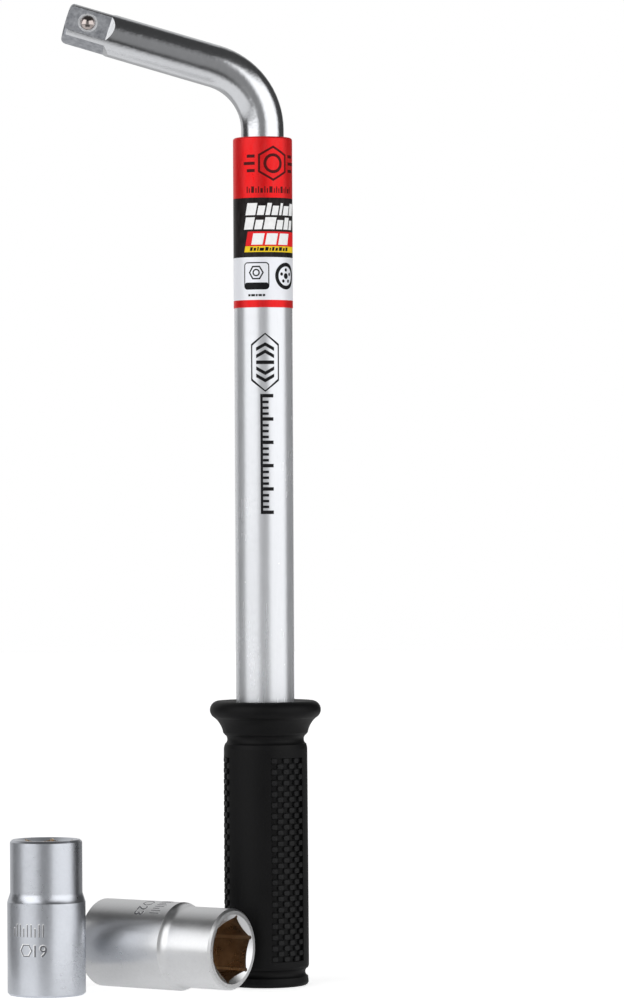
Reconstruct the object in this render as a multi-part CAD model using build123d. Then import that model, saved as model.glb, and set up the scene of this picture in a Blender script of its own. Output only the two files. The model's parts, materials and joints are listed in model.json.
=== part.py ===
from build123d import *
from math import cos, radians, sin, tan
import os

# Telescopic L-shaped lug wrench with its two double-ended sockets.
# The origin is the centre of the grip's flat base, +Z runs up along the tube, and the
# bent arm points to -X. Everything is in millimetres.

# Round rod, bent into the drive arm
ROD_R = 8.0
ROD_FOOT_Z = 100.3
BEND_R = 25.0
BEND_START_Z = 320.0
BEND_ANGLE = 73.4
ARM_LENGTH = 76.5          # from the crossing of the two rod axes to the tip
ROD_END_CHAMFER = 1.0

# Square drive at the arm's tip
SQUARE = 12.7
SQUARE_LENGTH = 16.3
RUN_OUT = 2.2
SQUARE_ROLL = 16.0         # the ball's flat looks this far up from level
TIP_ROUND = 2.0

# Spring-loaded ball of the square drive
BALL_R = 3.2
BALL_FROM_TIP = 8.2
BALL_PROUD = 1.6
BALL_HOLE_R = 3.25
BALL_LIP_R = 2.85
BALL_LIP_DEPTH = 0.8
BALL_HOLE_FLOOR = -4.0     # measured from the arm's axis, away from the ball
STAKE_R = (3.3, 3.75)
STAKE_DEPTH = 0.25
SPRING_WIRE_R = 0.35
SPRING_COIL_R = 2.1
SPRING_TURNS = 4
SPRING_CUP = 0.4           # how far the last coil reaches up round the ball

# Outer tube, and the sleeve bush pressed into its mouth
TUBE_R = 10.9
TUBE_BORE_R = 8.35
TUBE_FOOT_Z = 4.0
TUBE_TOP_Z = 316.7
MOUTH_ROUND = 0.8
BUSH_R = 9.15
BUSH_BORE_R = 8.05
BUSH_LENGTH = 30.0
BEAD_Z = 98.0              # rolled bead that the rod's foot rests on
BEAD_R = 2.0
BEAD_DEPTH = 0.9

# Rings on the rod
GUIDE_Z = 104.0
GUIDE_HEIGHT = 8.0
FRICTION_Z = 115.0
FRICTION_WIRE_R = 1.05
STOP_Z = 120.7
STOP_HEIGHT = 2.0
RING_R = 8.3
GUIDE_GROOVE_R = 7.0
STOP_GROOVE_R = 7.2
RING_SPLIT = 1.2
RUNNING_GAP = 0.05
CUT_PAST = 1.0             # how far a cutting shape runs past the surface that it cuts

# Printed sleeve round the upper end of the tube
LABEL_WALL = 0.2
LABEL_FOOT_Z = 253.2
LABEL_LIP_R = 9.5          # the sleeve's upper edge is curled over the tube's mouth

# Rubber grip: (radius, height) of the points that shape its outline, from the foot up
GRIP_FLAT_R = 14.5
FOOT_ROUND = (15.4, 0.45)
FOOT_EDGE = (15.75, 1.5)
FOOT_TOP = (15.5, 3.4)
LOW_GROOVE = (14.5, 5.0)
LOW_SHOULDER = (15.6, 6.6)
BODY_FOOT = (15.9, 7.5)
BODY_TOP = (15.65, 88.6)
HIGH_SHOULDER = (15.3, 90.2)
HIGH_GROOVE = (14.35, 92.2)
NECK_FOOT = (15.4, 93.8)
NECK_TOP = (15.9, 94.5)
FLARE_MIDDLE = (16.95, 97.5)
FLARE_TOP = (18.9, 99.9)
RIM_MIDDLE = (20.8, 103.0)
RIM_TOP = (18.2, 106.3)
GRIP_TOP_Z = 105.3
GRIP_FLOOR = 4.0
PANEL_COUNT = 3
PANEL_MIDDLE = -56.0       # angle of the first panel's middle, round +Z from +X
PANEL_WIDTH = 53.0
PANEL_Z = (9.6, 85.4)
PANEL_FLOOR_R = 14.7
PANEL_CUT_R = 18.0

# End plug in the tube's foot
PLUG_LENGTH = 14.0
PLUG_FLANGE = 1.5
PLUG_WALL = 1.8

# Double-ended sockets: across flats, outer radius, length and entry radius of each end
HEX_CLEARANCE = 0.2
HEX_DEPTH = 23.0
WEB_SQUARE = 12.9
SOCKET_CHAMFER = 0.8
ENTRY_SLOPE = 0.55
ENTRY_INSET = 0.3          # how far the entry cone's narrow end lies inside the hexagon's flats
CORNER_RELIEF_R = 0.9
SMALL_SOCKET = {"length": 57.0, "step": 19.4, "taper": 3.4,
                "upper": (17.0, 13.3, 10.9), "lower": (19.0, 14.4, 12.0)}
LARGE_SOCKET = {"length": 59.0, "step": 19.2, "taper": 3.5,
                "upper": (21.0, 15.0, 12.8), "lower": (23.0, 16.35, 14.0)}
STANDING_AT = (-80.9, -31.0)
STANDING_TURN = 20.0
LYING_MOUTH_AT = (-12.4, -34.0)
LYING_YAW = -35.0
LYING_ROLL = -13.0


def turned(outline):
    """Solid of revolution about Z from a closed (radius, height) outline."""
    return revolve(Plane.XZ * make_face(Polyline(*outline, close=True)), axis=Axis.Z)


def turned_edges(edges):
    """Solid of revolution about Z from connected (radius, height) edges."""
    return revolve(Plane.XZ * make_face(Wire(edges)), axis=Axis.Z)


def quarter(centre, radius):
    """Quarter circle from the outermost point of a rounded outer edge to its highest point."""
    r, z = centre
    slant = radius * cos(radians(45))
    return ThreePointArc((r + radius, z), (r + slant, z + slant), (r, z + radius))


def chain(points):
    """Straight edges from point to point."""
    return [Line(a, b) for a, b in zip(points, points[1:])]


def tube_between(inner, outer, foot, top):
    """Plain ring or tube about Z."""
    return turned([(inner, foot), (outer, foot), (outer, top), (inner, top)])


def arm_frame():
    """Plane at the end of the bend: its Z runs to the tip, its X is the arm's upper side."""
    turn = radians(BEND_ANGLE)
    end = (-BEND_R + BEND_R * cos(turn), 0, BEND_START_Z + BEND_R * sin(turn))
    return Plane(origin=end, x_dir=(cos(turn), 0, sin(turn)), z_dir=(-sin(turn), 0, cos(turn)))


def straight_length():
    """Length of the arm past the bend."""
    return ARM_LENGTH - BEND_R * tan(radians(BEND_ANGLE / 2))


def ball_frame():
    """Plane on the arm's axis below the ball: its Z is the outward normal of the ball's flat."""
    arm = arm_frame()
    up = arm.x_dir
    front = Vector(0, -1, 0)
    roll = radians(SQUARE_ROLL)
    centre = arm.origin + arm.z_dir * (straight_length() - BALL_FROM_TIP)
    return Plane(origin=centre, x_dir=arm.z_dir, z_dir=front * cos(roll) + up * sin(roll))


def flat_cutters():
    """Four blocks that mill the square and its sloped run-outs, in the arm's frame."""
    tip = straight_length()
    half = SQUARE / 2
    far = 2 * ROD_R
    shoulder = tip - SQUARE_LENGTH
    slope = RUN_OUT * (far - half) / (ROD_R - half)
    past = tip + CUT_PAST
    side = Polyline((half, past), (half, shoulder), (far, shoulder - slope), (far, past), close=True)
    block = extrude(Plane.XZ * make_face(side), amount=ROD_R, both=True)
    return [Rot(0, 0, 90 * n - (90 - SQUARE_ROLL)) * block for n in range(4)]


def rod_grooves():
    """Rings cut from the rod for the guide ring, the friction ring and the stop ring."""
    out = ROD_R + CUT_PAST
    side_gap = 2 * RUNNING_GAP
    guide = tube_between(GUIDE_GROOVE_R, out, GUIDE_Z - side_gap, GUIDE_Z + GUIDE_HEIGHT + side_gap)
    seat = RING_R - 2 * FRICTION_WIRE_R - RUNNING_GAP
    wire = FRICTION_WIRE_R + side_gap
    friction = tube_between(seat, out, FRICTION_Z - wire, FRICTION_Z + wire)
    stop = tube_between(STOP_GROOVE_R, out, STOP_Z, STOP_Z + STOP_HEIGHT)
    return [guide, friction, stop]


def drive_arm():
    """Round rod with its bend, milled square and ball hole."""
    foot = turned([(0, ROD_FOOT_Z), (ROD_R - ROD_END_CHAMFER, ROD_FOOT_Z),
                   (ROD_R, ROD_FOOT_Z + ROD_END_CHAMFER), (ROD_R, BEND_START_Z), (0, BEND_START_Z)])
    elbow_axis = Axis((-BEND_R, 0, BEND_START_Z), (0, -1, 0))
    elbow = revolve(Pos(0, 0, BEND_START_Z) * Circle(ROD_R), axis=elbow_axis,
                    revolution_arc=BEND_ANGLE)
    tip = straight_length()
    rounding = quarter((ROD_R - TIP_ROUND, tip - TIP_ROUND), TIP_ROUND)
    stem = turned_edges([rounding, *chain([(ROD_R - TIP_ROUND, tip), (0, tip), (0, 0), (ROD_R, 0),
                                           (ROD_R, tip - TIP_ROUND)])])
    for cutter in flat_cutters():
        stem -= cutter
    arm = foot - rod_grooves() + elbow + arm_frame().location * stem
    flat = SQUARE / 2
    hole = turned([(0, BALL_HOLE_FLOOR), (BALL_HOLE_R, BALL_HOLE_FLOOR),
                   (BALL_HOLE_R, flat - BALL_LIP_DEPTH), (BALL_LIP_R, flat),
                   (BALL_LIP_R, ROD_R), (0, ROD_R)])
    stake = tube_between(*STAKE_R, flat - STAKE_DEPTH, ROD_R)
    return arm - ball_frame().location * hole - ball_frame().location * stake


def detent_ball():
    """Steel ball that stands a little proud of the drive's flat."""
    centre = SQUARE / 2 + BALL_PROUD - BALL_R
    return ball_frame().location * Pos(0, 0, centre) * Sphere(BALL_R)


def detent_spring():
    """Coil spring between the hole's floor and the ball."""
    foot = BALL_HOLE_FLOOR + SPRING_WIRE_R + RUNNING_GAP
    ball_foot = SQUARE / 2 + BALL_PROUD - 2 * BALL_R
    height = ball_foot + SPRING_CUP - SPRING_WIRE_R - foot
    line = Helix(pitch=height / SPRING_TURNS, height=height, radius=SPRING_COIL_R)
    wire = sweep(Plane(origin=line @ 0, z_dir=line % 0) * Circle(SPRING_WIRE_R), path=line)
    return ball_frame().location * Pos(0, 0, foot) * wire


def outer_tube():
    """Steel tube with a counterbored, rounded mouth and a rolled bead under the grip."""
    mouth = TUBE_TOP_Z - BUSH_LENGTH
    centre = (TUBE_R - MOUTH_ROUND, TUBE_TOP_Z - MOUTH_ROUND)
    bore = [(centre[0], TUBE_TOP_Z), (BUSH_R, TUBE_TOP_Z), (BUSH_R, mouth), (TUBE_BORE_R, mouth),
            (TUBE_BORE_R, TUBE_FOOT_Z), (TUBE_R, TUBE_FOOT_Z), (TUBE_R, centre[1])]
    body = turned_edges([quarter(centre, MOUTH_ROUND), *chain(bore)])
    circle = Plane.XZ * Pos(TUBE_R + BEAD_R - BEAD_DEPTH, BEAD_Z) * Circle(BEAD_R)
    dent = revolve(circle, axis=Axis.Z)
    circle = Plane.XZ * Pos(TUBE_BORE_R + BEAD_R - BEAD_DEPTH, BEAD_Z) * Circle(BEAD_R)
    wall_middle = (TUBE_R + TUBE_BORE_R) / 2
    bump = revolve(circle, axis=Axis.Z) & tube_between(BEAD_R, wall_middle, TUBE_FOOT_Z, mouth)
    return body + bump - dent


def mouth_bush():
    """Bush pressed into the tube's mouth: it guides the rod and stops the stop ring."""
    foot = TUBE_TOP_Z - BUSH_LENGTH
    return tube_between(BUSH_BORE_R, BUSH_R, foot, TUBE_TOP_Z)


def split(ring, width, height_range):
    """Cut a narrow gap in a ring, on the +Y side."""
    foot, top = height_range
    gap = Box(width, TUBE_R, top - foot + 2 * CUT_PAST)
    return ring - Pos(0, TUBE_R / 2 + CUT_PAST, (foot + top) / 2) * gap


def guide_ring():
    """Split nylon ring that carries the rod's foot in the tube."""
    top = GUIDE_Z + GUIDE_HEIGHT
    ring = tube_between(GUIDE_GROOVE_R + RUNNING_GAP, RING_R, GUIDE_Z, top)
    return split(ring, RING_SPLIT, (GUIDE_Z, top))


def friction_ring():
    """Rubber ring that grips the tube and holds the rod where it is put."""
    middle = RING_R - FRICTION_WIRE_R
    return revolve(Plane.XZ * Pos(middle, FRICTION_Z) * Circle(FRICTION_WIRE_R), axis=Axis.Z)


def stop_ring():
    """Split spring-steel ring that keeps the rod from leaving the tube."""
    ring = tube_between(STOP_GROOVE_R, RING_R, STOP_Z, STOP_Z + STOP_HEIGHT)
    return split(ring, RING_SPLIT, (STOP_Z, STOP_Z + STOP_HEIGHT))


def label_sleeve():
    """Thin shrunk-on sleeve whose upper edge follows the rounded mouth of the tube."""
    centre = (TUBE_R - MOUTH_ROUND, TUBE_TOP_Z - MOUTH_ROUND)
    outside = quarter(centre, MOUTH_ROUND + LABEL_WALL)
    lip = chain([(centre[0], TUBE_TOP_Z + LABEL_WALL), (LABEL_LIP_R, TUBE_TOP_Z + LABEL_WALL),
                 (LABEL_LIP_R, TUBE_TOP_Z), (centre[0], TUBE_TOP_Z)])
    inside = quarter(centre, MOUTH_ROUND)
    wall = chain([(TUBE_R, centre[1]), (TUBE_R, LABEL_FOOT_Z), (TUBE_R + LABEL_WALL, LABEL_FOOT_Z),
                  (TUBE_R + LABEL_WALL, centre[1])])
    return turned_edges([outside, *lip, inside, *wall])


def grip_outline():
    """Outer and inner outline of the grip as (radius, height) edges."""
    return [
        ThreePointArc((GRIP_FLAT_R, 0), FOOT_ROUND, FOOT_EDGE),
        Line(FOOT_EDGE, FOOT_TOP),
        ThreePointArc(FOOT_TOP, LOW_GROOVE, LOW_SHOULDER),
        *chain([LOW_SHOULDER, BODY_FOOT, BODY_TOP, HIGH_SHOULDER]),
        ThreePointArc(HIGH_SHOULDER, HIGH_GROOVE, NECK_FOOT),
        Line(NECK_FOOT, NECK_TOP),
        ThreePointArc(NECK_TOP, FLARE_MIDDLE, FLARE_TOP),
        ThreePointArc(FLARE_TOP, RIM_MIDDLE, RIM_TOP),
        *chain([RIM_TOP, (TUBE_R, GRIP_TOP_Z), (TUBE_R, GRIP_FLOOR), (0, GRIP_FLOOR), (0, 0),
                (GRIP_FLAT_R, 0)]),
    ]


def grip():
    """Rubber grip with a flared guard, two grooves and three sunk panels."""
    body = turned_edges(grip_outline())
    foot, top = PANEL_Z
    side = Polyline((PANEL_FLOOR_R, foot), (PANEL_CUT_R, foot), (PANEL_CUT_R, top),
                    (PANEL_FLOOR_R, top), close=True)
    panel = revolve(Plane.XZ * make_face(side), axis=Axis.Z, revolution_arc=PANEL_WIDTH)
    for n in range(PANEL_COUNT):
        start = PANEL_MIDDLE - PANEL_WIDTH / 2 + n * 360 / PANEL_COUNT
        body -= Rot(0, 0, start) * panel
    return body


def tube_end_plug():
    """Cup-shaped plug that keeps the tube's sharp foot off the rubber."""
    top = TUBE_FOOT_Z + PLUG_LENGTH
    floor = TUBE_FOOT_Z + PLUG_FLANGE
    inner = TUBE_BORE_R - PLUG_WALL
    return turned([(0, TUBE_FOOT_Z), (TUBE_BORE_R, TUBE_FOOT_Z), (TUBE_BORE_R, top), (inner, top),
                   (inner, floor), (0, floor)])


def hexagon_hole(across, depth, entry_r):
    """Hexagonal hole with eased corners, sunk from height 0 downwards, with its conical entry."""
    apothem = (across + HEX_CLEARANCE) / 2
    corner_r = apothem / cos(radians(30)) - CORNER_RELIEF_R / 2
    reliefs = PolarLocations(corner_r, 6) * RegularPolygon(CORNER_RELIEF_R, 6)
    hexagon = RegularPolygon(apothem, 6, major_radius=False) + reliefs
    hole = Pos(0, 0, -depth) * extrude(hexagon, amount=depth + CUT_PAST)
    root = apothem - ENTRY_INSET
    fall = (entry_r - root) * ENTRY_SLOPE
    entry = turned([(0, -fall), (root, -fall), (entry_r, 0), (entry_r, CUT_PAST), (0, CUT_PAST)])
    return hole + entry


def socket(sizes):
    """Double-ended socket standing on its larger end: two hexagons and a square web."""
    length = sizes["length"]
    upper_size, upper_r, upper_entry = sizes["upper"]
    lower_size, lower_r, lower_entry = sizes["lower"]
    step = length - sizes["step"]
    edge = SOCKET_CHAMFER
    body = turned([(0, 0), (lower_r - edge, 0), (lower_r, edge), (lower_r, step - sizes["taper"]),
                   (upper_r, step), (upper_r, length - edge), (upper_r - edge, length), (0, length)])
    body -= Pos(0, 0, length) * hexagon_hole(upper_size, HEX_DEPTH, upper_entry)
    body -= Rot(180, 0, 0) * hexagon_hole(lower_size, HEX_DEPTH, lower_entry)
    web = Rectangle(WEB_SQUARE, WEB_SQUARE)
    return body - extrude(web, amount=length)


def standing_socket():
    """17 and 19 mm socket, standing on its 19 mm end."""
    x, y = STANDING_AT
    return Pos(x, y, 0) * Rot(0, 0, STANDING_TURN) * socket(SMALL_SOCKET)


def lying_socket():
    """21 and 23 mm socket, lying on its larger end with the 21 mm mouth forwards."""
    x, y = LYING_MOUTH_AT
    radius = LARGE_SOCKET["lower"][1]
    yaw = radians(LYING_YAW)
    mouth = Plane(origin=(x, y, radius), x_dir=(0, 0, 1), z_dir=(cos(yaw), sin(yaw), 0))
    foot = Pos(0, 0, -LARGE_SOCKET["length"])
    return mouth.location * Rot(0, 0, LYING_ROLL) * foot * socket(LARGE_SOCKET)


PARTS = {
    "outer_tube": outer_tube,
    "mouth_bush": mouth_bush,
    "tube_end_plug": tube_end_plug,
    "grip": grip,
    "label_sleeve": label_sleeve,
    "guide_ring": guide_ring,
    "friction_ring": friction_ring,
    "drive_arm": drive_arm,
    "stop_ring": stop_ring,
    "detent_ball": detent_ball,
    "detent_spring": detent_spring,
    "socket_17_19": standing_socket,
    "socket_21_23": lying_socket,
}

os.makedirs("parts", exist_ok=True)
for name, make in PARTS.items():
    export_step(make(), f"parts/{name}.step")
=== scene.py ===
import json
from math import cos, floor, pi, radians, sin, tau

import bmesh
import bpy
from mathutils import Euler, Matrix, Vector


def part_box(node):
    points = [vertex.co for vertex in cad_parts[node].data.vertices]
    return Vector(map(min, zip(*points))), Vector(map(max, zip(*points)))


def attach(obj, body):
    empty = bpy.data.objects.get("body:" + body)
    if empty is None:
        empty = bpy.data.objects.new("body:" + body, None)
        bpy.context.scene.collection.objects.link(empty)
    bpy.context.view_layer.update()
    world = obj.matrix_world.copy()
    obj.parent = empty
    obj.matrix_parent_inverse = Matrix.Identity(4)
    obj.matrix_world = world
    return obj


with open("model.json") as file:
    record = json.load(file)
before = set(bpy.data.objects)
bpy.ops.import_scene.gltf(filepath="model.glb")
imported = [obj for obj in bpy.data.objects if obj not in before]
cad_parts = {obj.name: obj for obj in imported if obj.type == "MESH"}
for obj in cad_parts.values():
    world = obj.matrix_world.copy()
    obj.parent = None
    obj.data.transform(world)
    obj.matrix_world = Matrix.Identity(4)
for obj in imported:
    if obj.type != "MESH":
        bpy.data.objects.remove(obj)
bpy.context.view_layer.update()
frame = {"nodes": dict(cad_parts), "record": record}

# Looks of the telescopic lug wrench: materials, print, grip texture, stamped sizes, studio.
# Lengths are in metres; small ones are written as millimetres times MM.
MM = 0.001

# Places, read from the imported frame
nodes = frame["nodes"]
mounts = {mount["name"]: mount for mount in frame["record"]["mounts"]}

TUBE_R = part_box("outer_tube")[1].x
LABEL_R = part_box("label_sleeve")[1].x
LABEL_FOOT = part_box("label_sleeve")[0].z
LABEL_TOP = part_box("label_sleeve")[1].z

# Grip panels, as the CAD grip has them
PANEL_COUNT = 3
PANEL_MIDDLE = radians(34)
PANEL_WIDTH = radians(53)
PANEL_FOOT = 9.6 * MM
PANEL_TOP = 85.4 * MM
PANEL_FLOOR_R = 14.7 * MM
PIP_HEIGHT = 1.0 * MM
PIP_COLUMNS = 6
PIP_ROWS = 37
PIP_FILL = 0.97            # part of its square that a pip fills, each way
PIP_ROUNDING = 0.55 * MM

# Print: thickness of a layer of ink, its gap to the surface, and what lies on another layer
INK = 0.03 * MM
INK_GAP = 0.1 * INK
SECOND_LAYER = 1.2 * INK


# ---------------------------------------------------------------- shader helpers

def add(tree, kind, inputs=None, **settings):
    """New node with its settings, and its inputs set to values or linked from sockets."""
    node = tree.nodes.new(kind)
    for name, value in settings.items():
        setattr(node, name, value)
    for key, value in (inputs or {}).items():
        if isinstance(value, bpy.types.NodeSocket):
            tree.links.new(value, node.inputs[key])
        else:
            node.inputs[key].default_value = value
    return node


def math_node(tree, operation, a, b=0.0):
    """Result of a maths node."""
    return add(tree, "ShaderNodeMath", {0: a, 1: b}, operation=operation).outputs[0]


def vector_math(tree, operation, a, b=None):
    """Vector result of a vector maths node."""
    inputs = {0: a} if b is None else {0: a, 1: b}
    return add(tree, "ShaderNodeVectorMath", inputs, operation=operation).outputs[0]


def ramp(tree, fac, stops, interpolation="LINEAR"):
    """Colour from a ramp with (position, colour) stops."""
    node = add(tree, "ShaderNodeValToRGB", {"Fac": fac})
    node.color_ramp.interpolation = interpolation
    elements = node.color_ramp.elements
    while len(elements) < len(stops):
        elements.new(0.5)
    for element, (position, colour) in zip(elements, stops):
        element.position = position
        element.color = (*colour, 1.0)
    return node.outputs["Color"]


def mix_colour(tree, fac, a, b):
    """Blend of two colours."""
    node = add(tree, "ShaderNodeMix", data_type="RGBA")
    for index, value in ((0, fac), (6, a), (7, b)):
        if isinstance(value, bpy.types.NodeSocket):
            tree.links.new(value, node.inputs[index])
        else:
            node.inputs[index].default_value = value if index == 0 else (*value, 1.0)
    return node.outputs[2]


def mix_value(tree, fac, a, b):
    """Blend of two numbers."""
    node = add(tree, "ShaderNodeMix", data_type="FLOAT")
    for index, value in ((0, fac), (2, a), (3, b)):
        if isinstance(value, bpy.types.NodeSocket):
            tree.links.new(value, node.inputs[index])
        else:
            node.inputs[index].default_value = value
    return node.outputs[0]


def place(tree):
    """Point on the object in the row's frame, in metres."""
    return add(tree, "ShaderNodeTexCoord").outputs["Object"]


def stretched(tree, vector, scale):
    """Vector scaled by a different factor along each axis."""
    return vector_math(tree, "MULTIPLY", vector, scale)


def noise(tree, vector, scale, detail=3.0, roughness=0.5):
    """Noise between 0 and 1."""
    inputs = {"Vector": vector, "Scale": scale, "Detail": detail, "Roughness": roughness}
    return add(tree, "ShaderNodeTexNoise", inputs).outputs[0]


def spread(tree, value, low, high):
    """Stretches a value so that 0.3 to 0.7 runs from low to high."""
    inputs = {0: value, 1: 0.3, 2: 0.7, 3: low, 4: high}
    return add(tree, "ShaderNodeMapRange", inputs).outputs[0]


def bump(tree, height, depth, strength=1.0, normal=None):
    """Normal tilted by a height between 0 and 1, that stands for a depth in metres."""
    inputs = {"Height": height, "Distance": depth, "Strength": strength}
    if normal is not None:
        inputs["Normal"] = normal
    return add(tree, "ShaderNodeBump", inputs).outputs[0]


def new_material(name, constants):
    """Material with a Principled shader, and that shader's constant inputs."""
    material = bpy.data.materials.new(name)
    material.use_nodes = True
    tree = material.node_tree
    shader = tree.nodes["Principled BSDF"]
    for key, value in constants.items():
        shader.inputs[key].default_value = value
    return material, tree, shader


# ---------------------------------------------------------------- materials

# Fineness of the metals' noises, in cells per metre
CLOUDS = 45.0
SWELLS = 480.0
HAIRLINES = 900.0
SPECKS = 1500.0


def shade_metal(tree, shader, colour, roughness, grain, streaks=(1, 1, 1), waves=0.0, under=None):
    """Plated metal: fine blasted grain, cloudy roughness, slight tone changes and hairlines.

    grain and waves are the depths of the finest and the broader unevenness, laid over the normal
    given as under.
    """
    at = place(tree)
    cloud = noise(tree, at, CLOUDS, 4.0, 0.6)
    fine = noise(tree, stretched(tree, at, streaks), HAIRLINES, 2.0, 0.6)
    speck = noise(tree, at, SPECKS, 1.0, 0.5)
    tone = math_node(tree, "ADD", math_node(tree, "MULTIPLY", cloud, 0.6),
                     math_node(tree, "MULTIPLY", fine, 0.4))
    dark = tuple(c * 0.94 for c in colour)
    light = tuple(min(c * 1.05, 1.0) for c in colour)
    base = mix_colour(tree, spread(tree, tone, 0.0, 1.0), dark, light)
    rough = math_node(tree, "ADD", spread(tree, cloud, roughness - 0.025, roughness + 0.025),
                      spread(tree, fine, -0.02, 0.02))
    swell = bump(tree, noise(tree, at, SWELLS, 2.0, 0.5), waves, 1.0, under)
    tree.links.new(base, shader.inputs["Base Color"])
    tree.links.new(rough, shader.inputs["Roughness"])
    tree.links.new(bump(tree, speck, grain, 1.0, swell), shader.inputs["Normal"])
    return base, rough


def metal(name, colour, roughness, grain, streaks=(1, 1, 1), metallic=1.0, waves=0.0):
    """Plain plated or bare metal; below 1, metallic adds the haze of a blasted finish."""
    material, tree, shader = new_material(name, {"Metallic": metallic})
    shade_metal(tree, shader, colour, roughness, grain, streaks, waves)
    return material


def axis_space(tree, foot, axis):
    """(distance from an axis, height above its foot) of the shaded point."""
    turn = Vector((0, 0, 1)).rotation_difference(Vector(axis)).to_euler()
    inputs = {"Vector": place(tree), "Location": foot, "Rotation": turn}
    local = add(tree, "ShaderNodeMapping", inputs, vector_type="TEXTURE").outputs[0]
    parts = add(tree, "ShaderNodeSeparateXYZ", {0: local})
    flat = add(tree, "ShaderNodeCombineXYZ", {0: parts.outputs[0], 1: parts.outputs[1]})
    radius = add(tree, "ShaderNodeVectorMath", {0: flat.outputs[0]}, operation="LENGTH")
    return radius.outputs["Value"], parts.outputs[2]


def hollowed_taper(tree, from_head, taper_top, taper_length, step):
    """Normal that bends the straight taper into a fillet: steep at the shoulder, soft at the top."""
    along = add(tree, "ShaderNodeMapRange", {0: from_head, 1: taper_top, 2: taper_top + taper_length,
                                             3: 0.0, 4: 1.0}).outputs[0]
    sag = math_node(tree, "SUBTRACT", math_node(tree, "MULTIPLY", along, along), along)
    return bump(tree, sag, step)


CONE_SLOPE = 0.55          # depth of an entry cone for each unit of radius
UNDER_CONE = 0.1 * MM      # how far past the cone the bare bore begins
BORE_MARGIN = 0.7 * MM     # how far outside the hexagon's corners still counts as bore
CORNER_HIGHLIGHT_DEPTH = 0.35 * MM   # how far inside the corners their painted highlight of lighter bronze reaches


def socket_metal(name, colour, foot, axis, length, corner_r, entry_r, taper):
    """Blasted satin chrome outside, bronze-brown steel in the bore, with a lighter bronze painted along its
    corners as a painted highlight.

    corner_r and entry_r are (foot end, head end) radii of the hexagon's corners and of the entry
    cone; taper is (distance below the head, length, step in radius) of the outside taper.
    """
    material, tree, shader = new_material(name, {"Metallic": 0.98})
    radius, height = axis_space(tree, foot, axis)
    from_head = math_node(tree, "SUBTRACT", length, height)
    fillet = hollowed_taper(tree, from_head, *taper)
    base, rough = shade_metal(tree, shader, colour, 0.30, 0.006 * MM, (1, 1, 1), 0.03 * MM, fillet)
    masks = []
    corners = []
    for depth, corner, entry in ((height, corner_r[0], entry_r[0]), (from_head, corner_r[1], entry_r[1])):
        cone = math_node(tree, "MULTIPLY", math_node(tree, "SUBTRACT", entry, radius), CONE_SLOPE)
        below = math_node(tree, "GREATER_THAN", depth, math_node(tree, "ADD", cone, UNDER_CONE))
        inside = math_node(tree, "LESS_THAN", radius, corner + BORE_MARGIN)
        masks.append(math_node(tree, "MULTIPLY", below, inside))
        near = math_node(tree, "LESS_THAN", depth, length / 2)
        # painted highlight: the bore's corners near each end are marked out for a lighter bronze
        corner_highlight_zone = math_node(tree, "GREATER_THAN", radius, corner - CORNER_HIGHLIGHT_DEPTH)
        corners.append(math_node(tree, "MULTIPLY", near, corner_highlight_zone))
    bore = math_node(tree, "MULTIPLY", masks[0], masks[1])
    corner = math_node(tree, "MAXIMUM", corners[0], corners[1])
    blotch = noise(tree, place(tree), 160.0, 5.0, 0.6)
    bronze = mix_colour(tree, spread(tree, blotch, 0.0, 1.0), (0.36, 0.26, 0.17), (0.66, 0.52, 0.38))
    # the lighter bronze in the corners is a painted highlight, not a different steel
    bronze = mix_colour(tree, corner, bronze, (0.86, 0.72, 0.56))
    tree.links.new(mix_colour(tree, bore, base, bronze), shader.inputs["Base Color"])
    bore_rough = spread(tree, blotch, 0.22, 0.36)
    tree.links.new(mix_value(tree, bore, rough, bore_rough), shader.inputs["Roughness"])
    return material


STAKE_REACH = 4.05 * MM    # how far the staking reaches from the ball's centre
SQUARE_LENGTH = 16.3 * MM
FACET_LENGTH = 2.6 * MM
MILLED_R = 7.93 * MM       # the milled faces lie within this radius, the round rod outside it


def arm_metal(name):
    """Bright chrome rod; the milled square is duller and scuffed, its run-out facets bright."""
    material, tree, shader = new_material(name, {"Metallic": 1.0})
    base, rough = shade_metal(tree, shader, (0.70, 0.71, 0.735), 0.19, 0.012 * MM, (1, 1, 0.3), 0.06 * MM)
    tip = mounts["square_drive"]
    radius, depth = axis_space(tree, tip["pos_m"], [-c for c in tip["axis"]])
    milled = math_node(tree, "LESS_THAN", depth, SQUARE_LENGTH)
    run_out = math_node(tree, "LESS_THAN", depth, SQUARE_LENGTH + FACET_LENGTH)
    flat = math_node(tree, "LESS_THAN", radius, MILLED_R)
    worked = math_node(tree, "MULTIPLY", run_out, flat)
    low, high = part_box("detent_ball")
    away = add(tree, "ShaderNodeVectorMath", {0: place(tree), 1: (low + high) / 2}, operation="DISTANCE")
    staked = math_node(tree, "LESS_THAN", away.outputs["Value"], STAKE_REACH)
    scuff = noise(tree, place(tree), 420.0, 6.0, 0.75)
    dull = mix_colour(tree, spread(tree, scuff, 0.0, 1.0), (0.30, 0.315, 0.35), (0.66, 0.675, 0.71))
    dull = mix_colour(tree, staked, dull, (0.90, 0.91, 0.93))
    pale = mix_colour(tree, milled, (0.86, 0.875, 0.90), dull)
    tree.links.new(mix_colour(tree, worked, base, pale), shader.inputs["Base Color"])
    milled_rough = mix_value(tree, milled, 0.30, spread(tree, scuff, 0.34, 0.48))
    tree.links.new(mix_value(tree, worked, rough, milled_rough), shader.inputs["Roughness"])
    return material


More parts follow.
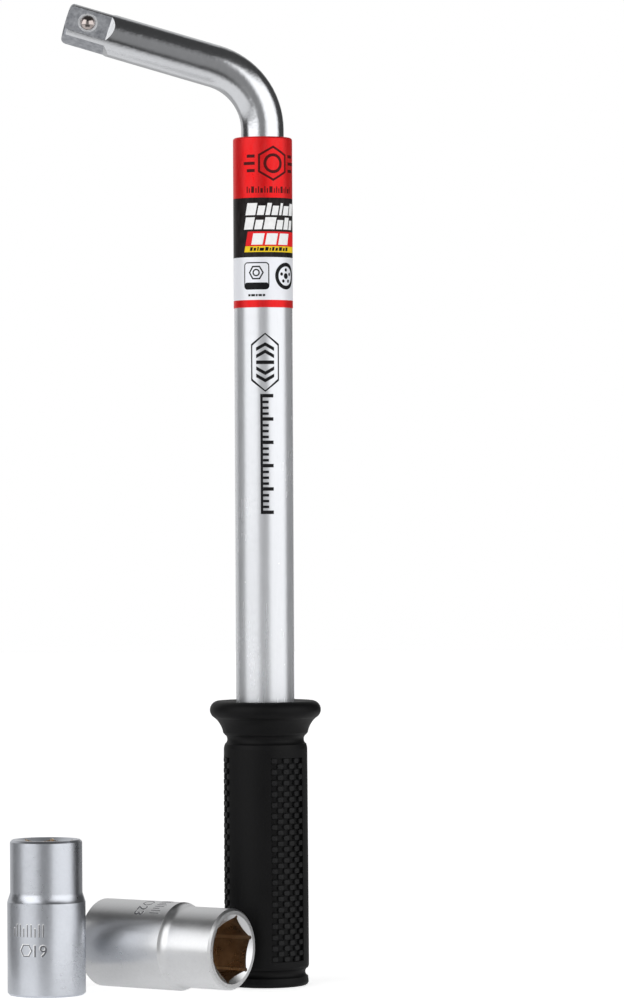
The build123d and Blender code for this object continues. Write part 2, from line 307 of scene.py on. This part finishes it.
def rubber(name, shade, roughness, specular):
    """Matt black moulded rubber with a fine eroded skin and a trace of dust."""
    material, tree, shader = new_material(name, {"Specular IOR Level": specular})
    at = place(tree)
    dust = noise(tree, at, 70.0, 5.0, 0.65)
    skin = noise(tree, at, 1500.0, 3.0, 0.6)
    worn = tuple(c * 1.9 for c in shade)
    base = mix_colour(tree, spread(tree, dust, 0.0, 1.0), shade, worn)
    tree.links.new(base, shader.inputs["Base Color"])
    tree.links.new(spread(tree, dust, roughness - 0.05, roughness + 0.07), shader.inputs["Roughness"])
    tree.links.new(bump(tree, skin, 0.05 * MM, 0.8), shader.inputs["Normal"])
    return material


def plastic(name, colour, roughness, specular=0.5):
    """Moulded plastic with slight colour drift and flow marks."""
    material, tree, shader = new_material(name, {"Specular IOR Level": specular})
    at = place(tree)
    drift = noise(tree, at, 120.0, 4.0, 0.55)
    dark = tuple(c * 0.85 for c in colour)
    light = tuple(min(c * 1.1, 1.0) for c in colour)
    base = mix_colour(tree, spread(tree, drift, 0.0, 1.0), dark, light)
    tree.links.new(base, shader.inputs["Base Color"])
    tree.links.new(spread(tree, drift, roughness - 0.04, roughness + 0.05), shader.inputs["Roughness"])
    skin = noise(tree, at, 900.0, 2.0, 0.5)
    tree.links.new(bump(tree, skin, 0.02 * MM, 0.6), shader.inputs["Normal"])
    return material


RED = (0.80, 0.012, 0.014)
BLACK = (0.006, 0.005, 0.005)
WHITE = (0.86, 0.875, 0.92)

# How much of a metal foil's sheen each colour of the sleeve has
FOIL = {RED: 0.45, WHITE: 0.18, BLACK: 0.0}

# Heights of the sleeve's colour bands above its foot, as (height, colour above it)
BANDS = [(0.0, RED), (2.7 * MM, WHITE), (18.6 * MM, BLACK), (40.8 * MM, RED)]


def printed_film(name):
    """Printed film: colour bands by height, red and white with a foil's sheen, ink rubbed here and there."""
    material, tree, shader = new_material(name, {"Specular IOR Level": 0.08})
    at = place(tree)
    height = add(tree, "ShaderNodeSeparateXYZ", {0: at}).outputs[2]
    span = LABEL_TOP - LABEL_FOOT
    part = math_node(tree, "DIVIDE", math_node(tree, "SUBTRACT", height, LABEL_FOOT), span)
    bands = ramp(tree, part, [(z / span, colour) for z, colour in BANDS], "CONSTANT")
    rub = noise(tree, stretched(tree, at, (1, 1, 0.35)), 420.0, 5.0, 0.7)
    rubbed = mix_colour(tree, spread(tree, rub, 0.0, 0.05), bands, (0.50, 0.42, 0.42))
    tree.links.new(rubbed, shader.inputs["Base Color"])
    foil = ramp(tree, part, [(z / span, (FOIL[colour],) * 3) for z, colour in BANDS], "CONSTANT")
    tree.links.new(foil, shader.inputs["Metallic"])
    tree.links.new(spread(tree, rub, 0.27, 0.37), shader.inputs["Roughness"])
    ripple = noise(tree, stretched(tree, at, (1, 1, 0.5)), 90.0, 2.0, 0.5)
    grain = bump(tree, noise(tree, at, 1800.0, 2.0, 0.6), 0.012 * MM)
    tree.links.new(bump(tree, ripple, 0.06 * MM, 0.5, grain), shader.inputs["Normal"])
    return material


def ink(name, colour, roughness=0.35):
    """Printed ink with slightly uneven cover."""
    material, tree, shader = new_material(name, {"Specular IOR Level": 0.10})
    at = place(tree)
    cover = noise(tree, at, 700.0, 4.0, 0.65)
    thin = tuple(c * 0.88 + 0.006 for c in colour)
    base = mix_colour(tree, spread(tree, cover, 0.0, 1.0), thin, colour)
    tree.links.new(base, shader.inputs["Base Color"])
    tree.links.new(spread(tree, cover, roughness - 0.05, roughness + 0.05), shader.inputs["Roughness"])
    return material


def socket_of(foot_mount, head_mount):
    """(foot, axis, length) of a socket, from the two hexagon mounts at its ends."""
    foot = Vector(mounts[foot_mount]["pos_m"])
    head = Vector(mounts[head_mount]["pos_m"])
    return foot, (head - foot).normalized(), (head - foot).length


STANDING = socket_of("hexagon_19_mm", "hexagon_17_mm")
LYING = socket_of("hexagon_23_mm", "hexagon_21_mm")

# Both sockets as the CAD has them. The pairs are (foot end, head end): radius outside, of the
# hexagon's corners and of the entry cone. A taper is (distance below the head, length, step).
STANDING_R = (14.4 * MM, 13.3 * MM)
STANDING_CORNERS = (11.1 * MM, 9.95 * MM)
STANDING_CONES = (12.0 * MM, 10.9 * MM)
STANDING_TAPER = (19.4 * MM, 3.4 * MM, 1.1 * MM)
LYING_R = (16.35 * MM, 15.0 * MM)
LYING_CORNERS = (13.4 * MM, 12.3 * MM)
LYING_CONES = (14.0 * MM, 12.8 * MM)
LYING_TAPER = (19.2 * MM, 3.5 * MM, 1.35 * MM)


def dress_cad_nodes():
    """Gives every CAD node its own detailed material."""
    tube_chrome = metal("tube_satin_chrome", (0.76, 0.775, 0.805), 0.25, 0.006 * MM, (1, 1, 0.05), 0.66,
                        0.03 * MM)
    spring_steel = metal("oiled_spring_steel", (0.20, 0.20, 0.215), 0.35, 0.02 * MM)
    small = socket_metal("small_socket_chrome", (0.66, 0.685, 0.735), *STANDING, STANDING_CORNERS,
                         STANDING_CONES, STANDING_TAPER)
    large = socket_metal("large_socket_chrome", (0.74, 0.745, 0.755), *LYING, LYING_CORNERS,
                         LYING_CONES, LYING_TAPER)
    looks = {
        "outer_tube": tube_chrome,
        "drive_arm": arm_metal("rod_bright_chrome"),
        "socket_17_19": small,
        "socket_21_23": large,
        "mouth_bush": metal("turned_bush_steel", (0.42, 0.42, 0.43), 0.32, 0.02 * MM),
        "stop_ring": spring_steel,
        "detent_spring": spring_steel,
        "detent_ball": metal("polished_ball_steel", (0.50, 0.44, 0.42), 0.09, 0.001 * MM),
        "grip": rubber("grip_rubber", (0.0022, 0.0022, 0.0024), 0.50, 0.16),
        "friction_ring": rubber("ring_rubber", (0.010, 0.010, 0.010), 0.45, 0.3),
        "guide_ring": plastic("natural_nylon", (0.70, 0.68, 0.60), 0.42),
        "tube_end_plug": plastic("black_plug_plastic", (0.02, 0.02, 0.02), 0.45),
        "label_sleeve": printed_film("printed_film"),
    }
    for node, material in looks.items():
        for slot in nodes[node].material_slots:
            slot.material = material


# ---------------------------------------------------------------- flat art wrapped round cylinders

def polygon(bm, points):
    """Filled flat polygon."""
    bm.faces.new([bm.verts.new((x, y, 0)) for x, y in points])


def band(bm, outer, inner):
    """Flat closed strip between two outlines with equally many points."""
    a = [bm.verts.new((x, y, 0)) for x, y in outer]
    b = [bm.verts.new((x, y, 0)) for x, y in inner]
    for n in range(len(a)):
        m = (n + 1) % len(a)
        bm.faces.new((a[n], a[m], b[m], b[n]))


def ring_points(x, y, rx, ry, count, start=0.0):
    """Points round an ellipse, or a regular polygon when count is small."""
    return [(x + rx * cos(start + tau * n / count), y + ry * sin(start + tau * n / count))
            for n in range(count)]


def slanted(x, y, width, height, lean=0.0):
    """Parallelogram with its lower left corner at x, y."""
    return [(x, y), (x + width, y), (x + width + lean, y + height), (x + lean, y + height)]


def rounded(x, y, width, height, radius, steps=5):
    """Rounded rectangle with its lower left corner at x, y."""
    points = []
    corners = ((x + width - radius, y + radius, -90), (x + width - radius, y + height - radius, 0),
               (x + radius, y + height - radius, 90), (x + radius, y + radius, 180))
    for cx, cy, start in corners:
        for n in range(steps + 1):
            angle = radians(start + 90 * n / steps)
            points.append((cx + radius * cos(angle), cy + radius * sin(angle)))
    return points


def frame_of(foot, axis, facing):
    """Matrix whose Z is a cylinder's axis, and whose -Y looks towards facing."""
    z = Vector(axis).normalized()
    y = -(Vector(facing) - Vector(facing).dot(z) * z).normalized()
    x = y.cross(z)
    turn = Matrix((x, y, z)).transposed().to_4x4()
    return Matrix.Translation(foot) @ turn


def wrap(bm, radius, at, step=0.6 * MM):
    """Bends flat art round a cylinder: x runs round it, y along it, z outwards."""
    xs = [v.co.x for v in bm.verts]
    for n in range(floor(min(xs) / step), floor(max(xs) / step) + 1):
        geometry = bm.verts[:] + bm.edges[:] + bm.faces[:]
        bmesh.ops.bisect_plane(bm, geom=geometry, plane_co=(n * step, 0, 0), plane_no=(1, 0, 0),
                               dist=1e-7)
    for v in bm.verts:
        angle = v.co.x / radius
        out = radius + v.co.z
        v.co = at @ Vector((out * sin(angle), -out * cos(angle), v.co.y))


def thicken(bm, depth):
    """Turns flat art into closed sheets of a thickness."""
    bmesh.ops.triangulate(bm, faces=bm.faces[:])
    lifted = bmesh.ops.extrude_face_region(bm, geom=bm.faces[:])
    for item in lifted["geom"]:
        if isinstance(item, bmesh.types.BMVert):
            item.co.z += depth


def finish_mesh(bm, name, material, body):
    """Flat-shaded object made from a bmesh, riding on a body."""
    bmesh.ops.recalc_face_normals(bm, faces=bm.faces[:])
    mesh = bpy.data.meshes.new(name)
    bm.to_mesh(mesh)
    bm.free()
    for face in mesh.polygons:
        face.use_smooth = False
    piece = bpy.data.objects.new(name, mesh)
    bpy.context.scene.collection.objects.link(piece)
    mesh.materials.append(material)
    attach(piece, body)
    return piece


def printed(name, draw, material, radius):
    """Thin closed layer of ink on a cylinder, drawn by a function that fills a bmesh in metres."""
    bm = bmesh.new()
    draw(bm)
    thicken(bm, INK)
    for v in bm.verts:
        v.co.z += INK_GAP
    wrap(bm, radius, Matrix())
    finish_mesh(bm, name, material, "handle")


# ---------------------------------------------------------------- print on the sleeve and the tube

ART_LEFT = -6.9 * MM        # left edge of the sleeve's art, round the sleeve from the front
ART_RIGHT = 16.5 * MM
LEAN = 0.2                 # sideways run of the leaning blocks for each unit of height


def row_of_blocks(bm, left, low, height, gap, widths, lean=LEAN, short=1.0):
    """Leaning blocks side by side; every second one is lower, by the factor short."""
    x = left
    for n, width in enumerate(widths):
        tall = height * (short if n % 2 else 1.0)
        polygon(bm, slanted(x, low, width * MM, tall, lean * tall))
        x += width * MM + gap


def disc(bm, x, y, radius):
    """Filled circle."""
    polygon(bm, ring_points(x, y, radius, radius, 28))


def ring(bm, x, y, outer, inner, count=44, start=0.0):
    """Circle or regular polygon drawn as a line."""
    band(bm, ring_points(x, y, outer, outer, count, start), ring_points(x, y, inner, inner, count, start))


def draw_nut_sign(bm):
    """Nut seen from its end, between three bars on either side."""
    x, y = 4.0 * MM, 306.8 * MM
    ring(bm, x, y, 6.6 * MM, 5.7 * MM, 6, pi / 6)
    ring(bm, x, y, 3.7 * MM, 2.6 * MM)
    near, pitch, thick = 7.0 * MM, 2.7 * MM, 1.15 * MM
    for row, length in ((-1, 3.2 * MM), (0, 4.6 * MM), (1, 3.2 * MM)):
        low = y + row * pitch - thick / 2
        polygon(bm, slanted(x - near - length, low, length, thick))
        polygon(bm, slanted(x + near, low, length, thick))


def draw_red_dashes(bm):
    """Row of thin strokes under the nut sign."""
    widths = (0.4, 0.4, 1.1, 0.4, 0.4, 0.9, 0.4, 0.4, 1.2, 0.4, 0.4, 0.4, 1.0, 0.4, 0.4, 0.9, 0.4)
    row_of_blocks(bm, ART_LEFT + 0.6 * MM, 295.8 * MM, 2.4 * MM, 0.55 * MM, widths, 0.0, 0.7)


def draw_white_slants(bm):
    """Two rows of leaning white blocks, and three on the red block."""
    upper = (4.0, 2.6, 1.7, 2.5, 1.1, 2.9, 2.9)
    lower = (3.7, 2.8, 4.3, 2.7, 2.4, 2.0)
    row_of_blocks(bm, ART_LEFT, 287.5 * MM, 4.5 * MM, 0.6 * MM, upper, LEAN, 0.78)
    row_of_blocks(bm, ART_LEFT - 0.7 * MM, 282.2 * MM, 4.5 * MM, 0.6 * MM, lower, LEAN, 0.78)
    row_of_blocks(bm, ART_LEFT + 2.4 * MM, 276.5 * MM, 4.2 * MM, 0.9 * MM, (4.3, 4.3, 4.6))


def draw_red_block(bm):
    """Leaning red block behind the lower white slants."""
    height = 5.4 * MM
    polygon(bm, slanted(ART_LEFT - 0.1 * MM, 276.0 * MM, ART_RIGHT - ART_LEFT, height, LEAN * height))


def draw_yellow_strip(bm):
    """Yellow strip under the red block."""
    height = 2.2 * MM
    polygon(bm, slanted(ART_LEFT - 0.6 * MM, 273.75 * MM, ART_RIGHT - ART_LEFT, height, LEAN * height))


def draw_strip_ticks(bm):
    """Dark ticks on the yellow strip."""
    row_of_blocks(bm, ART_LEFT + 1.8 * MM, 274.2 * MM, 1.4 * MM, 0.45 * MM,
                  (1.0, 0.9, 0.5, 1.6, 1.2, 0.5, 0.9, 1.0, 1.4, 0.9, 1.2), LEAN, 0.8)


def draw_badges(bm):
    """Badge with a nut over a foot bar, a wheel with its five nuts, and small dashes."""
    left, low, side, tall, line = -7.6 * MM, 259.8 * MM, 9.9 * MM, 10.2 * MM, 0.4 * MM
    inner = (left + line, low + line, side - 2 * line, tall - 2 * line)
    band(bm, rounded(left, low, side, tall, 1.4 * MM), rounded(*inner, 1.0 * MM))
    polygon(bm, rounded(inner[0], inner[1], inner[2], 2.2 * MM, 0.7 * MM))
    x, y = left + side / 2, low + 6.3 * MM
    ring(bm, x, y, 2.9 * MM, 2.3 * MM, 6)
    ring(bm, x, y, 1.4 * MM, 0.9 * MM)
    row_of_blocks(bm, left + 1.8 * MM, 257.3 * MM, 0.8 * MM, 0.3 * MM, (0.9, 1.5, 0.7, 1.3, 0.9), 0.0)
    draw_wheel_sign(bm, 9.6 * MM, low + 5.1 * MM)


def draw_wheel_sign(bm, x, y):
    """Wheel seen from outside: rim, hub and five nuts."""
    ring(bm, x, y, 5.0 * MM, 3.6 * MM)
    disc(bm, x, y, 1.1 * MM)
    nuts = 5
    for px, py in ring_points(x, y, 2.3 * MM, 2.3 * MM, nuts, pi / 2):
        disc(bm, px, py, 0.62 * MM)


def draw_tube_mark(bm):
    """Long six-sided frame with chevrons, over a bold comb-shaped scale."""
    x, y = 0.6 * MM, 232.7 * MM
    half_w, half_h, point, line = 5.4 * MM, 11.0 * MM, 4.2 * MM, 0.5 * MM

    def long_hexagon(cut):
        w, h, p = half_w - cut, half_h - 1.2 * cut, point
        return [(x, y - h), (x + w, y - h + p), (x + w, y + h - p), (x, y + h), (x - w, y + h - p),
                (x - w, y - h + p)]

    band(bm, long_hexagon(0.0), long_hexagon(line))
    arm, rise, thick = 3.4 * MM, 1.9 * MM, 1.35 * MM
    for way in (-1, 1):
        for near in (1.5 * MM, 4.2 * MM):
            foot = y + way * near
            tip = foot + way * rise
            points = [(x - arm, foot), (x, tip), (x + arm, foot), (x + arm, foot + way * thick),
                      (x, tip + way * thick), (x - arm, foot + way * thick)]
            polygon(bm, points if way < 0 else points[::-1])
    polygon(bm, slanted(x - arm, y - thick / 2, 2 * arm, thick))
    draw_scale(bm, x - 1.9 * MM)


def draw_scale(bm, left):
    """Comb of bars on a spine, every fourth bar longer."""
    foot, pitch, bars = 176.2 * MM, 2.17 * MM, 21
    spine, short, long = 0.9 * MM, 3.1 * MM, 4.9 * MM
    for n in range(bars):
        major = n % 4 == 0
        thick = (1.3 if major else 0.95) * MM
        polygon(bm, slanted(left + spine, foot + n * pitch, (long if major else short) - spine, thick))
    polygon(bm, slanted(left, foot, spine * 0.98, (bars - 1) * pitch + 1.3 * MM))


def make_print():
    """All printed layers of the sleeve and the tube."""
    black = ink("black_ink", (0.007, 0.007, 0.008))
    dark_red = ink("dark_red_ink", (0.075, 0.004, 0.004))
    white = ink("white_ink", (0.93, 0.93, 0.93))
    red = ink("red_ink", (0.80, 0.014, 0.018))
    yellow = ink("yellow_ink", (0.92, 0.64, 0.02))
    layer = LABEL_R
    printed("sleeve_nut_sign", draw_nut_sign, dark_red, layer)
    printed("sleeve_red_dashes", draw_red_dashes, dark_red, layer)
    printed("sleeve_red_block", draw_red_block, red, layer)
    printed("sleeve_yellow_strip", draw_yellow_strip, yellow, layer)
    printed("sleeve_white_slants", draw_white_slants, white, layer + SECOND_LAYER)
    printed("sleeve_strip_ticks", draw_strip_ticks, black, layer + SECOND_LAYER)
    printed("sleeve_badges", draw_badges, black, layer)
    printed("tube_mark", draw_tube_mark, black, TUBE_R)


# ---------------------------------------------------------------- grip pips

# Outlines of a pip from its root up, as (size, height), in parts of its full size and height
PIP_LEVELS = [(1.0, -0.05), (1.0, 0.55), (0.94, 0.85), (0.84, 1.0)]
PIP_CROWN = 1.06


def add_pip(bm, x, y, width, height, radius):
    """One rounded block; x runs round the grip, y along it."""
    loops = []
    for size, lift in PIP_LEVELS:
        outline = rounded(-width / 2, -height / 2, width, height, radius, 3)
        loops.append([bm.verts.new((x + px * size, y + py * size, lift * PIP_HEIGHT)) for px, py in outline])
    for low, high in zip(loops, loops[1:]):
        for n in range(len(low)):
            m = (n + 1) % len(low)
            bm.faces.new((low[n], low[m], high[m], high[n]))
    crown = bm.verts.new((x, y, PIP_CROWN * PIP_HEIGHT))
    for n in range(len(loops[-1])):
        bm.faces.new((loops[-1][n], loops[-1][(n + 1) % len(loops[-1])], crown))
    bm.faces.new(loops[0][::-1])


def make_pips():
    """Chequered rubber blocks standing in the grip's three panels."""
    material = rubber("pip_rubber", (0.0048, 0.0048, 0.0052), 0.50, 0.22)
    mid_r = PANEL_FLOOR_R + PIP_HEIGHT
    pitch_x = PANEL_WIDTH * mid_r / PIP_COLUMNS
    pitch_y = (PANEL_TOP - PANEL_FOOT) / PIP_ROWS
    for panel in range(PANEL_COUNT):
        bm = bmesh.new()
        for column in range(PIP_COLUMNS):
            for row in range(PIP_ROWS):
                if (column + row) % 2 == 0:
                    x = (column + 0.5 - PIP_COLUMNS / 2) * pitch_x
                    y = PANEL_FOOT + (row + 0.5) * pitch_y
                    add_pip(bm, x, y, pitch_x * PIP_FILL, pitch_y * PIP_FILL, PIP_ROUNDING)
        middle = PANEL_MIDDLE + panel * tau / PANEL_COUNT
        for v in bm.verts:
            angle = middle + v.co.x / mid_r
            out = PANEL_FLOOR_R + v.co.z
            v.co = Vector((out * sin(angle), -out * cos(angle), v.co.y))
        piece = finish_mesh(bm, f"grip_pips_{panel + 1}", material, "handle")


# ---------------------------------------------------------------- sizes stamped on the sockets

STROKE = 0.42 * MM
STROKE_COUNT = 9
STAMP_STEP = 0.5 * MM      # spacing of the cuts that let a stamp bend round its socket

# Layers of a stamp, a bright painted highlight rim and a dark face layer that is painted shade of the sunk
# mark: (name, swelling of its strokes, shift to the right and down, thickness in INK)
STAMP_LAYERS = [("painted_highlight", 0.10 * MM, 0.0, 1.0), ("face", 0.0, 0.16 * MM, 1.6)]

# Sizes in a stamp, in parts of the height of its digits
FONT_SIZE = 1.38           # the font size that gives digits of that height
SIGN_R = 0.56
SIGN_AWAY = 0.72           # from the digits to the middle of the nut sign
STROKE_PITCH = 0.34
STROKE_FOOT = 1.1
SHORT_STROKE = 0.7


def text_mesh(text, height, swell):
    """Flat filled digits in a mesh, their strokes swollen by a length."""
    curve = bpy.data.curves.new("digits", "FONT")
    curve.body = text
    curve.size = height * FONT_SIZE
    curve.offset = swell
    curve.resolution_u = 4
    curve.fill_mode = "BOTH"
    source = bpy.data.objects.new("digits", curve)
    bpy.context.scene.collection.objects.link(source)
    bpy.context.view_layer.update()
    mesh = bpy.data.meshes.new_from_object(source.evaluated_get(bpy.context.evaluated_depsgraph_get()))
    bpy.data.objects.remove(source)
    bpy.data.curves.remove(curve)
    return mesh


def size_mark(bm, text, height, swell):
    """Digits with a nut sign on their left and a row of strokes above, centred on 0, 0."""
    mesh = text_mesh(text, height, swell)
    bm.from_mesh(mesh)
    bpy.data.meshes.remove(mesh)
    bmesh.ops.remove_doubles(bm, verts=bm.verts[:], dist=1e-7)
    xs = [v.co.x for v in bm.verts]
    width = max(xs) - min(xs)
    for v in bm.verts:
        v.co.x -= (max(xs) + min(xs)) / 2
        v.co.y -= height / 2
        v.co.z = 0
    x = -width / 2 - SIGN_AWAY * height
    ring(bm, x, 0.0, SIGN_R * height + swell, SIGN_R * height - STROKE - swell, 6)
    pitch = STROKE_PITCH * height
    for n in range(STROKE_COUNT):
        tall = height * (1.0 if n % 3 else SHORT_STROKE)
        left = width / 2 - (STROKE_COUNT - n) * pitch
        foot = STROKE_FOOT * height
        polygon(bm, slanted(left - swell, foot - swell, STROKE + 2 * swell, tall + 2 * swell))


def stamp(name, text, foot, axis, facing, radius, middle, height, metals, body):
    """Struck size on a socket, drawn on its surface: a bright painted highlight rim, and a dark face a
    little beside it, down and to the right, that is painted shade of the sunk mark.
    """
    at = frame_of(foot, axis, facing)
    for (part, swell, aside, thick), material in zip(STAMP_LAYERS, metals):
        bm = bmesh.new()
        size_mark(bm, text, height, swell)
        for v in bm.verts:
            v.co.x += aside
            v.co.y += middle - aside
        thicken(bm, thick * INK)
        wrap(bm, radius + INK_GAP, at, STAMP_STEP)
        piece = finish_mesh(bm, f"{name}_{part}", material, body)


def make_stamps():
    """Sizes on both ends of both sockets."""
    # bright metal for the painted highlight on the struck edges, dark metal for the painted shade in the
    # sunk marks
    metals = (metal("stamp_painted_highlight_metal", (0.97, 0.975, 0.98), 0.42, 0.008 * MM, (1, 1, 1), 0.4),
              metal("stamp_painted_shade_metal", (0.20, 0.205, 0.225), 0.42, 0.008 * MM))
    foot, axis, length = STANDING
    stamp("stamp_19", "19", foot, axis, (-0.12, -1, 0), STANDING_R[0], 17.4 * MM, 4.5 * MM, metals,
          "small_socket")
    stamp("stamp_17", "17", foot, axis, (0.5, 1, 0), STANDING_R[1], length - 12 * MM, 4.0 * MM, metals,
          "small_socket")
    foot, axis, length = LYING
    stamp("stamp_23", "23", foot, axis, (-0.35, -0.5, 0.95), LYING_R[0], 24.0 * MM, 4.2 * MM, metals,
          "large_socket")
    stamp("stamp_21", "21", foot, axis, (0.3, 0.7, 0.9), LYING_R[1], length - 12 * MM, 3.6 * MM, metals,
          "large_socket")


# ---------------------------------------------------------------- studio

# White cards and gaps round the object, as it sees them. Each has the azimuth (from the front,
# positive to the right) and elevation of its middle, half its width and height, the softness of
# its edges to the side and upwards, all in degrees, and its brightness.
CARDS = {
    "left softbox": (-51, 26, 32, 29, 12, 8, 1.65),
    "right softbox": (56, 17, 38, 25, 12, 9, 1.50),
    "gap between them": (0, 8, 34, 30, 16, 14, 0.28),
    "wall behind": (-164, 22, 36, 34, 12, 14, 0.66),
    "table in front": (0, -70, 400, 30, 20, 14, 0.85),
    "table at the left": (-78, -45, 46, 37, 12, 7, 0.90),
    "table at the right": (95, -45, 62, 34, 14, 7, 0.70),
    "table behind": (180, -45, 60, 40, 20, 12, 0.50),
}
ROOM = 0.06


def edge(tree, value, middle, half, soft):
    """1 within half of the middle, falling smoothly to 0 over twice the softness."""
    away = math_node(tree, "ABSOLUTE", math_node(tree, "SUBTRACT", value, middle))
    inputs = {0: away, 1: half - soft, 2: half + soft, 3: 1.0, 4: 0.0}
    return add(tree, "ShaderNodeMapRange", inputs, interpolation_type="SMOOTHSTEP").outputs[0]


def make_world():
    """White to the camera; to the object, a dark room with soft white cards round it."""
    world = bpy.data.worlds.new("studio")
    bpy.context.scene.world = world
    world.use_nodes = True
    tree = world.node_tree
    direction = add(tree, "ShaderNodeTexCoord").outputs["Generated"]
    parts = add(tree, "ShaderNodeSeparateXYZ", {0: direction})
    front = math_node(tree, "MULTIPLY", parts.outputs[1], -1.0)
    azimuth = math_node(tree, "DEGREES", math_node(tree, "ARCTAN2", parts.outputs[0], front))
    elevation = math_node(tree, "DEGREES", math_node(tree, "ARCSINE", parts.outputs[2]))
    level = ROOM
    for at, up, half_w, half_h, soft_w, soft_h, bright in CARDS.values():
        turned = math_node(tree, "SUBTRACT", azimuth, float(at))
        wrapped = add(tree, "ShaderNodeMath", {0: turned, 1: 180.0, 2: -180.0}, operation="WRAP").outputs[0]
        card = math_node(tree, "MULTIPLY", edge(tree, wrapped, 0.0, half_w, soft_w),
                         edge(tree, elevation, up, half_h, soft_h))
        level = math_node(tree, "MAXIMUM", math_node(tree, "MULTIPLY", card, bright), level)
    seen = add(tree, "ShaderNodeLightPath").outputs["Is Camera Ray"]
    background = tree.nodes["Background"]
    background.inputs["Color"].default_value = (1, 1, 1, 1)
    tree.links.new(mix_value(tree, seen, level, 1.0), background.inputs["Strength"])


FLOOR_R = 4.0
FLOOR_GLOW = 0.70
NEAR_R = 0.16
NEAR_GLOW = 0.34


def table_top(name, radius, at, material_name, greys, glow):
    """White disc that glows a little; greys are the darkest and lightest of its colour."""
    bm = bmesh.new()
    bmesh.ops.create_circle(bm, cap_ends=True, segments=96, radius=radius)
    mesh = bpy.data.meshes.new(name)
    bm.to_mesh(mesh)
    bm.free()
    table = bpy.data.objects.new(name, mesh)
    bpy.context.scene.collection.objects.link(table)
    table.location = at
    material, tree, shader = new_material(material_name, {
        "Roughness": 0.9, "Specular IOR Level": 0.1,
        "Emission Color": (1, 1, 1, 1), "Emission Strength": glow})
    grain = noise(tree, place(tree), 60.0, 3.0, 0.5)
    base = mix_colour(tree, grain, (greys[0],) * 3, (greys[1],) * 3)
    tree.links.new(base, shader.inputs["Base Color"])
    mesh.materials.append(material)
    return table


def make_floor():
    """Pale table whose glow keeps shadows faint and melts its far edge into white."""
    table = table_top("floor", FLOOR_R, (0, 0, -0.05 * MM), "pale_floor", (0.80, 0.86), FLOOR_GLOW)
    table.visible_glossy = False


def make_near_table():
    """Patch of table seen only in the metals, so that they show the pieces' shadows under them."""
    table = table_top("near_table", NEAR_R, (-0.02, 0, -0.03 * MM), "near_table_white", (0.76, 0.84),
                      NEAR_GLOW)
    table.visible_camera = False
    table.visible_diffuse = False
    table.visible_shadow = False


CAMERA_AT = Vector((0.0, -1.779, 0.180))
CAMERA_YAW = radians(-0.575)
CAMERA_PITCH = radians(-0.005)
CAMERA_ROLL = radians(-0.29)
FOCAL_PIXELS = 4750
FRAME_HEIGHT = 1008
SENSOR = 36.0


def make_camera():
    """Long lens at half the wrench's height, aimed level and a little to the right."""
    data = bpy.data.cameras.new("camera")
    data.sensor_width = SENSOR
    data.lens = FOCAL_PIXELS / FRAME_HEIGHT * SENSOR
    data.clip_end = 50
    camera = bpy.data.objects.new("camera", data)
    bpy.context.scene.collection.objects.link(camera)
    camera.location = CAMERA_AT
    aim = Euler((radians(90) + CAMERA_PITCH, 0, CAMERA_YAW)).to_matrix()
    camera.rotation_euler = (aim @ Matrix.Rotation(CAMERA_ROLL, 3, "Z")).to_euler()
    bpy.context.scene.camera = camera


make_camera()
dress_cad_nodes()
make_print()
make_pips()
make_stamps()
make_world()
make_floor()
make_near_table()
bpy.context.scene.view_settings.view_transform = "Standard"
